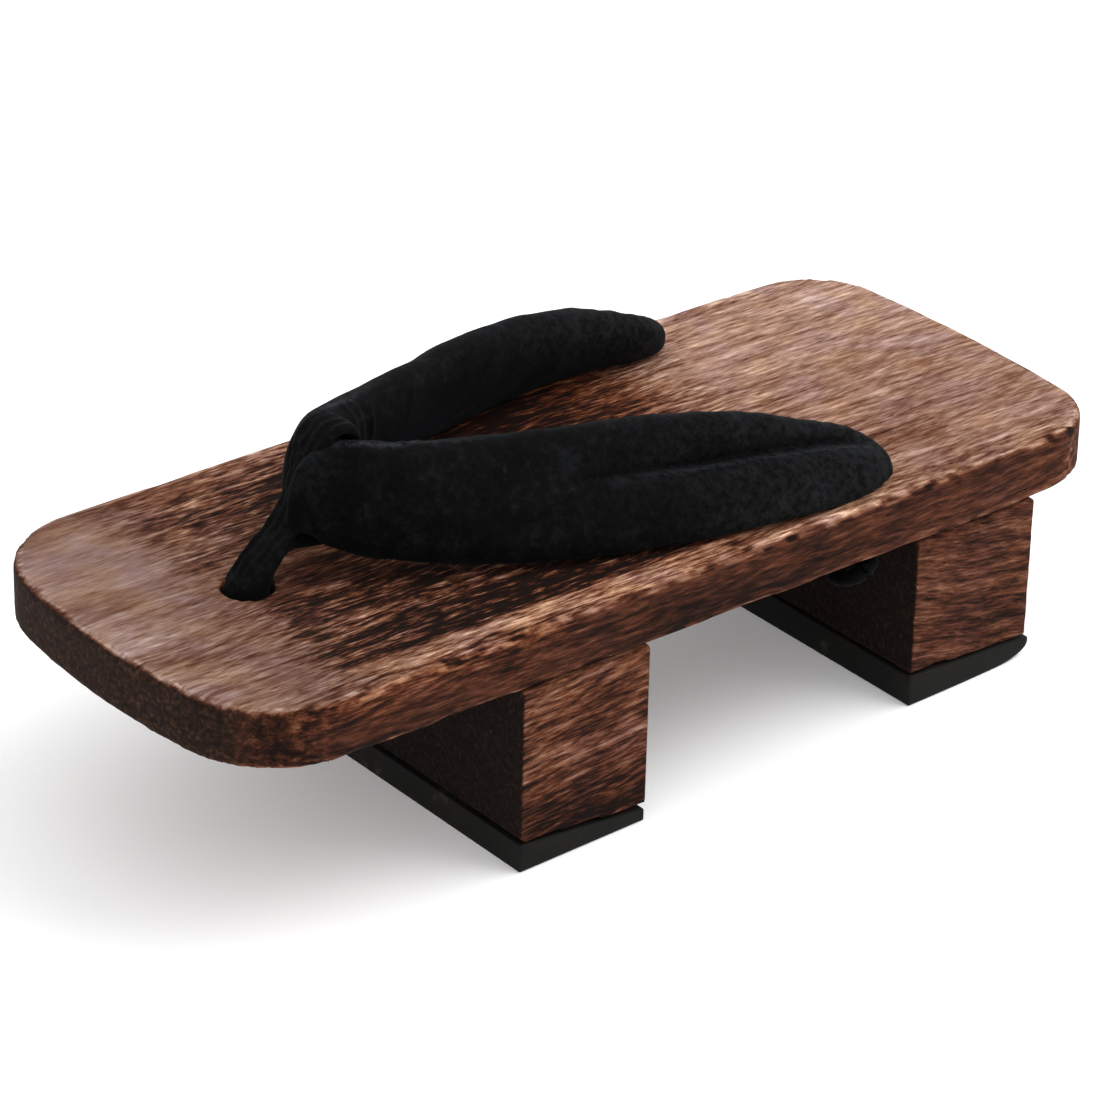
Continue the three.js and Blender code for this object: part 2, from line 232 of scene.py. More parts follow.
def streaks_group():
    """Fine lines along the grain: their pitch across it, their run along it and how far they wander"""
    tree, given, result = new_group("streaks along the grain", [
        ("Place", "NodeSocketVector", None),
        ("Pitch", "NodeSocketFloat", 0.001),
        ("Run", "NodeSocketFloat", 0.02),
        ("Wander", "NodeSocketFloat", 0.001),
        ("Seed", "NodeSocketFloat", 0.0),
    ], [("Streaks", "NodeSocketFloat")])
    drift = add_node(tree, "ShaderNodeTexNoise", {
        "Vector": given.outputs["Place"], "Scale": 45.0, "Detail": 2.0})
    drift_from_middle = add_node(tree, "ShaderNodeVectorMath", {
        0: drift.outputs["Color"], 1: (0.5, 0.5, 0.5)}, operation="SUBTRACT")
    drift_length = add_node(tree, "ShaderNodeVectorMath", {
        0: drift_from_middle.outputs[0], "Scale": given.outputs["Wander"]}, operation="SCALE")
    moved = add_node(tree, "ShaderNodeVectorMath", {
        0: given.outputs["Place"], 1: drift_length.outputs[0]}, operation="ADD")
    steps = add_node(tree, "ShaderNodeCombineXYZ", {
        "X": given.outputs["Pitch"], "Y": given.outputs["Run"], "Z": given.outputs["Pitch"]})
    scaled = add_node(tree, "ShaderNodeVectorMath", {
        0: moved.outputs[0], 1: steps.outputs[0]}, operation="DIVIDE")
    lines = add_node(tree, "ShaderNodeTexNoise", {
        "Vector": scaled.outputs[0], "W": given.outputs["Seed"],
        "Scale": 1.0, "Detail": 3.0, "Roughness": 0.6}, noise_dimensions="4D")
    tree.links.new(lines.outputs["Fac"], result.inputs["Streaks"])
    return tree


streaks_along_grain = streaks_group()


def paint(red, green, blue):
    """A colour given as 0 to 255 display values, as the shader takes it"""
    return tuple((((value / 255) + 0.055) / 1.055) ** 2.4 for value in (red, green, blue))


# The wood's markings with their pitch, run and wander in millimetres, their seed, and how much
# they lighten or darken the wood.
MARKINGS = {
    "fine": {"pitch": 0.6, "run": 4.2, "wander": 1, "seed": 1, "share": 1.5},
    "middle": {"pitch": 1.2, "run": 8.5, "wander": 2, "seed": 2, "share": 1.7},
    "broad": {"pitch": 8, "run": 50, "wander": 8, "seed": 3, "share": 0.55},
    "nicks": {"pitch": 0.8, "run": 5, "wander": 1, "seed": 4, "share": -0.32},
    "rings": {"pitch": 2.1, "run": 110, "wander": 4, "seed": 5, "share": 1.4},
}
BROWNS = [
    (0.00, paint(20, 9, 5)),
    (0.15, paint(50, 25, 15)),
    (0.30, paint(84, 48, 33)),
    (0.45, paint(114, 79, 62)),
    (0.60, paint(142, 110, 94)),
    (0.75, paint(170, 138, 121)),
    (0.90, paint(200, 169, 151)),
    (1.00, paint(222, 194, 178)),
]
STAINS = [
    (0.36, (0.93, 0.93, 1.06)),
    (0.50, (1.00, 1.00, 1.00)),
    (0.64, (1.04, 1.00, 0.90)),
]
CHAR = [
    (0.35, paint(33, 19, 12)),
    (0.55, paint(54, 34, 24)),
    (0.75, paint(94, 64, 47)),
]
grey_tint = (0.95, 1.05, 1.17, 1)
orange_tint = (1.0, 0.72, 0.45, 1)
# Charred end grain is dimmed by the piece's tone, and this brings it back up.
char_tint = (3.0, 3.0, 3.0, 1)


def marking(tree, place, name):
    """One of the wood's markings, as a value round 0.5"""
    made = add_node(tree, "ShaderNodeGroup", node_tree=streaks_along_grain)
    tree.links.new(place, made.inputs["Place"])
    for size in ("pitch", "run", "wander"):
        made.inputs[size.capitalize()].default_value = MARKINGS[name][size] * MM
    made.inputs["Seed"].default_value = MARKINGS[name]["seed"]
    return made.outputs["Streaks"]


def lightens(tree, value, name, middle=0.5):
    """How much a marking lightens the wood where its value is above the middle"""
    above = math_node(tree, "SUBTRACT", value, middle)
    return math_node(tree, "MULTIPLY", above, MARKINGS[name]["share"])


def brushed_wood_group():
    """Scorched and brushed wood: pale worn ridges, brown wood and black grooves, with darker end grain"""
    tree, given, result = new_group("brushed wood", [
        ("Place", "NodeSocketVector", None),
        ("Facing", "NodeSocketVector", None),
        ("Tone", "NodeSocketFloat", 0.5),
        ("Contrast", "NodeSocketFloat", 0.5),
        ("Warmth", "NodeSocketFloat", 0.3),
    ], [
        ("Color", "NodeSocketColor"),
        ("Roughness", "NodeSocketFloat"),
        ("Relief", "NodeSocketFloat"),
    ])
    place = given.outputs["Place"]
    fine = marking(tree, place, "fine")
    middle = marking(tree, place, "middle")
    rings = marking(tree, place, "rings")
    broad = marking(tree, place, "broad")
    nicks = smooth_between(tree, marking(tree, place, "nicks"), 0.56, 0.68)
    streaky = lightens(tree, fine, "fine")
    for line in (lightens(tree, middle, "middle"), lightens(tree, nicks, "nicks", 0.0),
                 lightens(tree, rings, "rings")):
        streaky = math_node(tree, "ADD", streaky, line)
    lines = math_node(tree, "MULTIPLY", streaky, given.outputs["Contrast"])
    lined = math_node(tree, "ADD", given.outputs["Tone"], lines)
    tone = math_node(tree, "ADD", lined, lightens(tree, broad, "broad"), clamp=True)
    stains = add_node(tree, "ShaderNodeTexNoise", {"Vector": place, "Scale": 75.0, "Detail": 3.0})
    stained = tinted(tree, ramp(tree, tone, BROWNS), ramp(tree, stains.outputs["Fac"], STAINS))
    least_warm = smooth_between(tree, given.outputs["Warmth"], 0.12, 0.0)
    greyed = tinted(tree, stained, grey_tint, least_warm)
    warm = tinted(tree, greyed, orange_tint, given.outputs["Warmth"])
    split = add_node(tree, "ShaderNodeSeparateXYZ", {"Vector": given.outputs["Facing"]})
    lengthwise = math_node(tree, "ABSOLUTE", split.outputs["Y"], 0.0)
    end_grain = smooth_between(tree, lengthwise, 0.6, 0.9)
    pores = add_node(tree, "ShaderNodeTexNoise", {"Vector": place, "Scale": 900.0, "Detail": 3.0})
    charred = tinted(tree, ramp(tree, pores.outputs["Fac"], CHAR), given.outputs["Tone"])
    finished = mix_colours(tree, end_grain, warm, tinted(tree, charred, char_tint))
    roughness = add_node(tree, "ShaderNodeMapRange", {"Value": tone, "To Min": 0.95, "To Max": 0.7})
    tree.links.new(finished, result.inputs["Color"])
    tree.links.new(roughness.outputs["Result"], result.inputs["Roughness"])
    relief = math_node(tree, "ADD", math_node(tree, "MULTIPLY", fine, 0.5), middle)
    tree.links.new(relief, result.inputs["Relief"])
    return tree


brushed_wood = brushed_wood_group()


def wood_material(name, grain_drop):
    """Wood whose grain falls by grain_drop towards the heel, with the look stored on the piece"""
    material = bpy.data.materials.new(name)
    material.use_nodes = True
    tree = material.node_tree
    shader = tree.nodes["Principled BSDF"]
    place = add_node(tree, "ShaderNodeTexCoord")
    along_grain = add_node(tree, "ShaderNodeMapping", {
        "Vector": place.outputs["Object"], "Rotation": (grain_drop, 0, 0)})
    look = add_node(tree, "ShaderNodeAttribute", attribute_name="look")
    parts = add_node(tree, "ShaderNodeSeparateColor", {"Color": look.outputs["Color"]})
    wood = add_node(tree, "ShaderNodeGroup", node_tree=brushed_wood)
    tree.links.new(along_grain.outputs["Vector"], wood.inputs["Place"])
    tree.links.new(place.outputs["Normal"], wood.inputs["Facing"])
    for channel, share in (("Red", "Tone"), ("Green", "Contrast"), ("Blue", "Warmth")):
        tree.links.new(parts.outputs[channel], wood.inputs[share])
    tree.links.new(wood.outputs["Color"], shader.inputs["Base Color"])
    tree.links.new(wood.outputs["Roughness"], shader.inputs["Roughness"])
    shader.inputs["Specular IOR Level"].default_value = 0.12
    bump = add_node(tree, "ShaderNodeBump", {
        "Height": wood.outputs["Relief"], "Strength": 0.8, "Distance": 0.0005})
    tree.links.new(bump.outputs["Normal"], shader.inputs["Normal"])
    return material


# How the face of the board changes from toe to heel: the place along it in millimetres, and there
# how pale, how streaky and how orange the wood is.
ALONG_FACE = [
    (-125, 0.54, 0.42, 0.00),
    (-106, 0.46, 0.40, 0.00),
    (-92, 0.38, 0.48, 0.02),
    (-70, 0.27, 0.72, 0.25),
    (-30, 0.24, 0.80, 0.50),
    (25, 0.32, 0.80, 0.45),
    (50, 0.50, 0.70, 0.20),
    (72, 0.60, 0.52, 0.10),
    (125, 0.65, 0.47, 0.08),
]
# The paler wood at the long edges, worn and with a painted highlight, and the board's sides, as places along
# it and tones.
ALONG_EDGE = [(-95, -0.02), (-60, 0.23), (20, 0.22), (80, 0.0)]
ALONG_SIDE = [(-112, 0.08), (-98, 0.10), (-60, 0.145), (60, 0.165), (110, 0.24)]


def board_look(points, normals):
    """Pale at toe and heel, scorched beside the strap with its shadow painted in, orange with painted shade
    between its arms, and worn with a painted highlight at the long edges
    """
    right, y, z = (points / MM).T
    x, far = np.abs(right), -right
    along, *looks = zip(*ALONG_FACE)
    tone, contrast, warmth = (np.interp(y, along, look) for look in looks)
    near = fade(right, -30, 20)
    far_toe = (1 - near) * fade(-y, 50, 72)
    beside = stretch(x, 4, 16, 41, 44) * stretch(y, -100, -84, 25, 60)
    # Darker beside the strap: the wood is scorched, and the strap's shadow is painted in, heavier on the near
    # side.
    scorch_and_shadow = beside * (0.4 + 0.6 * near)
    # A thin dark line along the board on the near side of the strap.
    line_place, line_width = 40 + 1.2 * np.sin(y / 7), 1.4
    dark_line = np.exp(-((x - line_place) / line_width) ** 2) * stretch(y, -84, -76, -22, -2)
    # On the far side between the arms the wood is more orange, and the shade cast by the arms is painted in
    # as darker, less streaky wood.
    inside = stretch(far, 5, 15, 37, 40) * fade(y, -60, -45)
    # The long top edges are paler: the wood is worn there, and the light on the rounded edge is painted in as
    # a highlight.
    edge = fade(x, 41, 45) * fade(y, -112, -98)
    # Each row is where on the face, and how much paler, streakier and more orange the wood is there.
    for where, paler, streakier, warmer in (
            (far_toe, 0, -0.22, 0),
            (far_toe * fade(y, -114, -102), 0.09, 0, 0),
            (far_toe * fade(far, 38, 48), -0.09, 0, 0),
            (beside, 0, 0.45, 0),
            # Scorching and the strap's painted shadow, darker still from 18 to 34 mm out from the middle.
            (scorch_and_shadow, -0.09, 0, 0),
            (scorch_and_shadow * fade(x, 18, 34), -0.09, 0, 0),
            (dark_line * near, -0.14, 0, 0),
            # Painted shade from the arms, darkest in the front part.
            (inside * (1 - fade(y, 6, 34)), -0.16, 0, 0),
            (inside * (1 - fade(y, 34, 50)), -0.10, -0.25, 0),
            (inside * (1 - fade(y, 32, 50)), 0, 0, 0.50),
            (edge, 0, 0.15, 0),
            (edge * np.interp(y, *zip(*ALONG_EDGE)), 1, 0, 0),
            (near * fade(y, 50, 75), -0.11, 0, 0)):
        tone += paler * where
        contrast += streakier * where
        warmth += warmer * where
    under_edge = fade(z, -9, -2) * stretch(y, -112, -100, -60, -20)
    side_tone = np.interp(y, *zip(*ALONG_SIDE)) + 0.12 * under_edge
    # Each row is how a face turns to the side, to an end or down, and its tone, contrast and warmth.
    for turned, new_tone, new_contrast, new_warmth in (
            (np.abs(normals[:, 0]), side_tone, 0.34 + 0.35 * under_edge, 0.2 + 0.5 * under_edge),
            (np.abs(normals[:, 1]), 0.17, 0.4, 0.1),
            (-normals[:, 2], 0.28, 0.5, 0.2)):
        facing = fade(turned, 0.45, 0.8)
        tone = tone * (1 - facing) + new_tone * facing
        contrast = contrast * (1 - facing) + new_contrast * facing
        warmth = warmth * (1 - facing) + new_warmth * facing
    lengthwise = 1 - fade(np.abs(normals[:, 1]), 0.3, 0.6)
    on_edge = fade(np.sort(np.abs(normals), axis=1)[:, 1], 0.1, 0.4) * lengthwise
    chip_seed, fleck_seed = 77, 99
    chips = fade(noise_at(points, 2.2 * MM, 5 * MM, chip_seed), 0.15, 0.35)
    flecks = fade(noise_at(points, 1.6 * MM, 5 * MM, fleck_seed), 0.15, 0.35)
    rubbed_pale, chip_dark, fleck_pale = 0.08, 0.34, 0.26
    tone += on_edge * (rubbed_pale - chip_dark * chips + fleck_pale * flecks)
    return tone, contrast, warmth


board = in_board_frame("board", "board_brushed")
even_skin(board, skin_step)
keep_look(board, *board_look(points_of(board.data), points_of(board.data, "normal")))
brush_wood(board, board_ring_run, 0, board_seed)
wear_arris(board, **board_wear)
board.data.materials.clear()
board.data.materials.append(wood_material("board wood", 0))
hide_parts("board")
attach(board, "root")

# Two teeth are sawn from the same wood and glued across the underside. Their faces to toe and heel
# are charred nearly black, and their side faces show the grain running along the shoe.
tooth_ring_run = 30 * MM
tooth_wear = {"reach": 7 * MM, "depth": 0.7 * MM}
charred_tone = 0.065
# Tones run from the pad up to the board, and deeper is how many millimetres the face to the heel is
# moved back.
TEETH = {
    "tooth_front": {"grain_drop": math.radians(-3), "tones": (0.14, 0.33), "contrast": 0.62, "warmth": 0.3,
                    "deeper": 1.8, "seed": 61},
    "tooth_rear": {"grain_drop": math.radians(12), "tones": (0.21, 0.25), "contrast": 0.45, "warmth": 0.12,
                   "deeper": 0, "seed": 83},
}
for tooth_name, look in TEETH.items():
    tooth = in_board_frame(tooth_name, tooth_name + "_brushed")
    even_skin(tooth, skin_step)
    tooth_points = points_of(tooth.data)
    heel_face = tooth_points[:, 1].max()
    at_heel_face = fade(tooth_points[:, 1], heel_face - 4 * MM, heel_face - 1 * MM)
    tooth_points[:, 1] += look["deeper"] * MM * at_heel_face
    set_points(tooth.data, tooth_points)
    tooth_low, tooth_high = tooth_points[:, 2].min(), tooth_points[:, 2].max()
    tooth_tone = np.interp(tooth_points[:, 2], [tooth_low, tooth_high], look["tones"])
    across = fade(np.abs(points_of(tooth.data, "normal")[:, 1]), 0.5, 0.9)
    tooth_tone = tooth_tone * (1 - across) + charred_tone * across
    keep_look(tooth, tooth_tone, look["contrast"], look["warmth"])
    brush_wood(tooth, tooth_ring_run, look["grain_drop"], look["seed"])
    wear_arris(tooth, **tooth_wear, seed=look["seed"] + 5)
    tooth.data.materials.clear()
    tooth.data.materials.append(wood_material(tooth_name + " wood", look["grain_drop"]))
    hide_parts(tooth_name)
    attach(tooth, "root")

# Wedges of black rubber are glued under the teeth, a little proud of the wood all round. Their
# edges are softened by wear and their faces have the fine speckle of moulded rubber.
pad_edge = 0.5 * MM
RUBBER = [
    (0.35, (0.0030, 0.0028, 0.0024)),
    (0.60, (0.0065, 0.0060, 0.0050)),
    (0.72, (0.0420, 0.0400, 0.0360)),
]


def rubber_material():
    """Black rubber, with grey scuffs and a fine speckle"""
    material = bpy.data.materials.new("black rubber")
    material.use_nodes = True
    tree = material.node_tree
    shader = tree.nodes["Principled BSDF"]
    place = add_node(tree, "ShaderNodeTexCoord")
    speckle = add_node(tree, "ShaderNodeTexNoise", {
        "Vector": place.outputs["Object"], "Scale": 1400.0, "Detail": 3.0})
    scuffs = add_node(tree, "ShaderNodeTexNoise", {
        "Vector": place.outputs["Object"], "Scale": 60.0, "Detail": 6.0, "Roughness": 0.7})
    colour = ramp(tree, scuffs.outputs["Fac"], RUBBER)
    roughness = add_node(tree, "ShaderNodeMapRange", {
        "Value": scuffs.outputs["Fac"], "To Min": 0.55, "To Max": 0.85})
    bump = add_node(tree, "ShaderNodeBump", {
        "Height": speckle.outputs["Fac"], "Strength": 0.5, "Distance": 0.0001})
    tree.links.new(colour, shader.inputs["Base Color"])
    tree.links.new(roughness.outputs["Result"], shader.inputs["Roughness"])
    shader.inputs["Specular IOR Level"].default_value = 0.14
    tree.links.new(bump.outputs["Normal"], shader.inputs["Normal"])
    return material


pad_rubber = rubber_material()
for pad_name in ("pad_front", "pad_rear"):
    pad = in_board_frame(pad_name, pad_name + "_moulded")
    soften = pad.modifiers.new("soft edges", "BEVEL")
    soften.width = pad_edge
    soften.segments = 3
    soften.angle_limit = math.radians(40)
    keep_modifiers(pad)
    for face in pad.data.polygons:
        face.use_smooth = True
    pad.data.set_sharp_from_angle(angle=math.radians(35))
    pad.data.materials.clear()
    pad.data.materials.append(pad_rubber)
    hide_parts(pad_name)
    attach(pad, "root")

# The strap is two tubes of black cotton velvet over soft wadding, sewn together at the nose. Each
# tube is folded along its outer face, so that a crease runs from the middle to the rear tip.
# The cloth is blown out from a slimmer shape, held at the nose and where it lies on the board.
NAP = [
    (0.38, (0.0012, 0.0012, 0.0013)),
    (0.52, (0.0026, 0.0027, 0.0029)),
    (0.66, (0.0062, 0.0066, 0.0072)),
]
# The grey of lint, also used for the highlights painted on the nap.
lint_and_sheen_grey = (0.032, 0.033, 0.036, 1)


def velvet_group():
    """Short nap: the lay of the pile in patches, lint caught on it, and grey where the nap is worn and where
    a highlight is painted
    """
    tree, given, result = new_group("velvet nap", [
        ("Place", "NodeSocketVector", None),
        ("Lint", "NodeSocketFloat", 0.5),
        ("Fuzz_and_sheen", "NodeSocketFloat", 0.0),
    ], [("Color", "NodeSocketColor"), ("Roughness", "NodeSocketFloat"), ("Relief", "NodeSocketFloat")])
    pile = add_node(tree, "ShaderNodeTexNoise", {
        "Vector": given.outputs["Place"], "Scale": 2600.0, "Detail": 2.0, "Roughness": 0.7})
    lay = add_node(tree, "ShaderNodeTexNoise", {
        "Vector": given.outputs["Place"], "Scale": 130.0, "Detail": 4.0, "Roughness": 0.6})
    tufts = add_node(tree, "ShaderNodeTexNoise", {
        "Vector": given.outputs["Place"], "Scale": 520.0, "Detail": 3.0, "Roughness": 0.75})
    lie = math_node(tree, "ADD", math_node(tree, "MULTIPLY", lay.outputs["Fac"], 0.6),
                    math_node(tree, "MULTIPLY", tufts.outputs["Fac"], 0.4))
    lint = smooth_between(tree, tufts.outputs["Fac"], 0.66, 0.78)
    flecks = math_node(tree, "MULTIPLY", lint, given.outputs["Lint"])
    grey_patches = smooth_between(tree, tufts.outputs["Fac"], 0.35, 0.6)
    grey_share = math_node(tree, "MULTIPLY", given.outputs["Fuzz_and_sheen"], grey_patches)
    lint_and_sheen_share = math_node(tree, "MAXIMUM", flecks, grey_share)
    colour = mix_colours(tree, lint_and_sheen_share, ramp(tree, lie, NAP), lint_and_sheen_grey)
    tree.links.new(colour, result.inputs["Color"])
    roughness = add_node(tree, "ShaderNodeMapRange", {
        "Value": lay.outputs["Fac"], "To Min": 0.75, "To Max": 0.95})
    tree.links.new(roughness.outputs["Result"], result.inputs["Roughness"])
    tuft_relief = math_node(tree, "MULTIPLY", tufts.outputs["Fac"], 1.5)
    relief = math_node(tree, "ADD", pile.outputs["Fac"], tuft_relief)
    tree.links.new(relief, result.inputs["Relief"])
    return tree


velvet_nap = velvet_group()


def velvet_material(name, lint):
    """Black velvet with that much lint, made grey where the piece's stored wear and painted highlights say"""
    material = bpy.data.materials.new(name)
    material.use_nodes = True
    tree = material.node_tree
    shader = tree.nodes["Principled BSDF"]
    place = add_node(tree, "ShaderNodeTexCoord")
    nap = add_node(tree, "ShaderNodeGroup", node_tree=velvet_nap)
    tree.links.new(place.outputs["Object"], nap.inputs["Place"])
    nap.inputs["Lint"].default_value = lint
    rubbed_places = add_node(tree, "ShaderNodeAttribute", attribute_name="fuzz_and_sheen")
    tree.links.new(rubbed_places.outputs["Fac"], nap.inputs["Fuzz_and_sheen"])
    tree.links.new(nap.outputs["Color"], shader.inputs["Base Color"])
    tree.links.new(nap.outputs["Roughness"], shader.inputs["Roughness"])
    shader.inputs["Specular IOR Level"].default_value = 0.04
    shader.inputs["Sheen Weight"].default_value = 0.02
    shader.inputs["Sheen Roughness"].default_value = 0.45
    shader.inputs["Sheen Tint"].default_value = (0.62, 0.70, 0.85, 1)
    bump = add_node(tree, "ShaderNodeBump", {
        "Height": nap.outputs["Relief"], "Strength": 0.6, "Distance": 0.0002})
    tree.links.new(bump.outputs["Normal"], shader.inputs["Normal"])
    return material


def blow_out(piece, slimmer, pressure, steps, most, held):
    """Fills the piece like a cushion: it starts slimmer by that much and swells no further than most"""
    start = points_of(piece.data)
    free = (1 - held)[:, None]
    set_points(piece.data, start - points_of(piece.data, "normal") * slimmer * free)
    scene = bpy.context.scene
    hold = piece.vertex_groups.new(name="held")
    least_weight = 0.02
    for index, weight in enumerate(held):
        if weight > least_weight:
            hold.add([index], float(weight), "REPLACE")
    cloth = piece.modifiers.new("wadding", "CLOTH")
    cloth.settings.quality = 6
    cloth.settings.mass = 0.2
    cloth.settings.tension_stiffness = 25
    cloth.settings.compression_stiffness = 12
    cloth.settings.shear_stiffness = 8
    cloth.settings.bending_stiffness = 0.4
    cloth.settings.use_pressure = True
    cloth.settings.uniform_pressure_force = pressure
    cloth.settings.effector_weights.gravity = 0
    cloth.settings.vertex_group_mass = "held"
    cloth.collision_settings.use_collision = False
    cloth.point_cache.frame_start = 1
    cloth.point_cache.frame_end = steps
    for step in range(1, steps + 1):
        scene.frame_set(step)
    keep_modifiers(piece)
    scene.frame_set(1)
    swollen = points_of(piece.data)
    move = swollen - start
    least_reach = 1e-9
    reach = np.maximum(np.linalg.norm(move, axis=1, keepdims=True), least_reach)
    set_points(piece.data, start + move * np.minimum(1, most / reach))
    piece.vertex_groups.clear()


def across_path(points, path):
    """Each point's distance from a path of (x, y, z, share) rows in millimetres, and the share there"""
    rows = np.array(path, float)
    ends = rows[:, :3] * MM
    far_away = 1.0
    nearest = np.full(len(points), far_away)
    share = np.zeros(len(points))
    for start, end, low, high in zip(ends[:-1], ends[1:], rows[:-1, 3], rows[1:, 3]):
        run = end - start
        step = np.clip((points - start) @ run / (run @ run), 0, 1)
        gap = np.linalg.norm(points - start - step[:, None] * run, axis=1)
        closer = gap < nearest
        nearest[closer] = gap[closer]
        share[closer] = (low + (high - low) * step)[closer]
    return nearest, share


def laid_on(points, path):
    """The path's rows, each moved to the nearest of the surface's points"""
    rows = np.array(path, float)
    for row in rows:
        row[:3] = points[np.argmin(np.linalg.norm(points - row[:3] * MM, axis=1))] / MM
    return rows


# Folds and ridges of the strap's near arm; the other arm has the same. Depth and width are in
# millimetres, a negative depth stands proud, and each path row is x, y, z and a share of the depth.
FOLDS = {
    "crease": {"depth": 3.0, "width": 1.1, "sharpness": 1.2, "path": [
        (29.6, -24.2, 18.8, 0.0), (31.2, -18.2, 18.3, 0.35), (32.5, -12.5, 17.9, 0.6),
        (33.9, -4.1, 17.3, 0.8), (35.0, 3.0, 16.6, 1.0), (35.7, 10.7, 15.8, 1.0),
        (36.3, 18.3, 14.7, 1.0), (37.0, 26.2, 13.9, 1.0), (37.8, 33.7, 12.9, 1.0),
        (38.5, 41.7, 11.8, 1.0), (38.6, 47.7, 10.5, 0.8), (38.8, 53.6, 8.8, 0.2)]},
    "lower lobe": {"depth": -1.5, "width": 4.0, "sharpness": 2, "path": [
        (33.5, -18.9, 14.4, 0.0), (37.1, -5.1, 12.4, 0.5), (40.0, 9.3, 11.1, 0.7), (41.5, 25.0, 9.3, 0.9),
        (42.5, 41.7, 7.1, 1.0), (43.5, 52.0, 5.5, 1.0)]},
    "blunt tip": {"depth": -1.6, "width": 7.0, "sharpness": 2, "path": [
        (44.5, 53.0, 4.5, 0.6), (42.0, 58.5, 4.5, 1.0)]},
    "upper lobe": {"depth": -0.9, "width": 5.0, "sharpness": 2, "path": [
        (24.0, -15.0, 25.0, 0.6), (30.0, 10.0, 22.5, 1.0), (34.0, 30.0, 18.5, 0.9), (36.5, 44.0, 15.0, 0.5)]},
    "first pleat": {"depth": -0.8, "width": 1.1, "sharpness": 2, "path": [
        (10.6, -52.8, 29.4, 0.4), (9.4, -52.6, 25.0, 1.0), (8.8, -52.4, 20.0, 0.5)]},
    "second pleat": {"depth": -0.8, "width": 1.1, "sharpness": 2, "path": [
        (11.0, -49.2, 28.6, 0.4), (8.8, -49.3, 25.0, 1.0), (7.8, -49.5, 20.0, 0.5)]},
    "third pleat": {"depth": -0.7, "width": 1.1, "sharpness": 2, "path": [
        (10.4, -45.1, 26.5, 0.4), (9.6, -45.5, 24.0, 1.0), (9.1, -45.8, 19.0, 0.5)]},
}
# Painted highlights, where the nap is also worn grey: along the sewn top edge, under the crease and at the
# inner foot.
# Each path row is x, y, z in millimetres and how grey it is.
RUBBED_AND_SHEEN = {
    "top edge": {"width": 0.9, "path": [
        (6.0, -66.0, 30.6, 0.4), (8.0, -61.9, 30.4, 0.8), (10.3, -59.1, 30.1, 0.5), (11.4, -55.1, 29.8, 0.7),
        (12.4, -50.0, 29.0, 0.5), (15.6, -43.0, 26.8, 0.3), (18.6, -34.0, 24.6, 0.0)]},
    "under the crease": {"width": 1.1, "path": [
        (32.0, -18.9, 17.2, 0.0), (35.1, -5.1, 16.0, 0.2), (37.3, 9.3, 14.6, 0.35), (38.4, 25.0, 12.6, 0.4),
        (38.9, 41.7, 9.6, 0.5), (39.5, 51.2, 7.7, 0.5), (41.6, 56.5, 6.2, 0.3)]},
    "inner foot": {"width": 1.0, "path": [
        (22.3, -20.9, 8.2, 0.1), (27.0, -12.4, 5.4, 0.6), (26.8, -8.1, 6.9, 0.6), (27.5, -4.1, 7.2, 0.5),
        (28.9, 0.5, 6.6, 0.1)]},
}

strap = in_board_frame("strap", "strap_velvet")
cloth_step = 2.1 * MM
even_skin(strap, cloth_step)
start_points = points_of(strap.data)
resting = 1 - fade(start_points[:, 2], 1.0 * MM, 3.5 * MM)
nose_middle = -66 * MM
from_nose = np.hypot(start_points[:, 0], start_points[:, 1] - nose_middle)
at_nose = 1 - fade(from_nose, 11 * MM, 17 * MM)
blow_out(strap, slimmer=0.5 * MM, pressure=4.0, steps=20, most=1.8 * MM,
         held=np.maximum(resting, at_nose))
rounder = strap.modifiers.new("smooth cloth", "SUBSURF")
rounder.levels = 2
keep_modifiers(strap)
for face in strap.data.polygons:
    face.use_smooth = True
strap_points = points_of(strap.data)
on_near_arm = strap_points.copy()
on_near_arm[:, 0] = np.abs(on_near_arm[:, 0])
strap_normals = points_of(strap.data, "normal")
dimple_size, dimple_depth, dimple_seed = 9 * MM, 0.3, 5
sunk = noise_at(strap_points, dimple_size, dimple_size, dimple_seed) * dimple_depth * MM - dimple_depth * MM
near_points = strap_points[strap_points[:, 0] > 0]
for fold in FOLDS.values():
    gap, share = across_path(on_near_arm, laid_on(near_points, fold["path"]))
    sunk += fold["depth"] * MM * share * np.exp(-(gap / (fold["width"] * MM)) ** fold["sharpness"])
strap_points -= strap_normals * sunk[:, None]

# At the nose the near arm bulges ahead of the far one and covers the near half of the thong. The
# nose's lower front is lifted off the board, and the far arm is drawn back. All in millimetres.
near_arm_shift = np.array([-1.9, -4.2, -0.1])
bulge_middle = 5.5
bulge_width = 5.5
nose_lift = 2.2
far_arm_shift = 1.8
board_clearance = 0.2
bulge = np.exp(-((strap_points[:, 0] - bulge_middle * MM) / (bulge_width * MM)) ** 2)
bulge *= fade(strap_points[:, 0], 0.5 * MM, 2.5 * MM) * fade(-strap_points[:, 1], 62 * MM, 73 * MM)
bulge *= stretch(strap_points[:, 2], 7 * MM, 14 * MM, 26 * MM, 33 * MM)
strap_points += bulge[:, None] * near_arm_shift * MM
lifted = fade(-strap_points[:, 1], 60 * MM, 74 * MM) * (1 - fade(strap_points[:, 2], 7 * MM, 15 * MM))
strap_points[:, 2] += lifted * nose_lift * MM
drawn_back = fade(-strap_points[:, 0], 2 * MM, 5 * MM) * fade(-strap_points[:, 1], 58 * MM, 70 * MM)
strap_points[:, 1] += drawn_back * fade(strap_points[:, 2], 2 * MM, 8 * MM) * far_arm_shift * MM
strap_points[:, 2] = np.maximum(strap_points[:, 2], board_clearance * MM)
set_points(strap.data, strap_points)
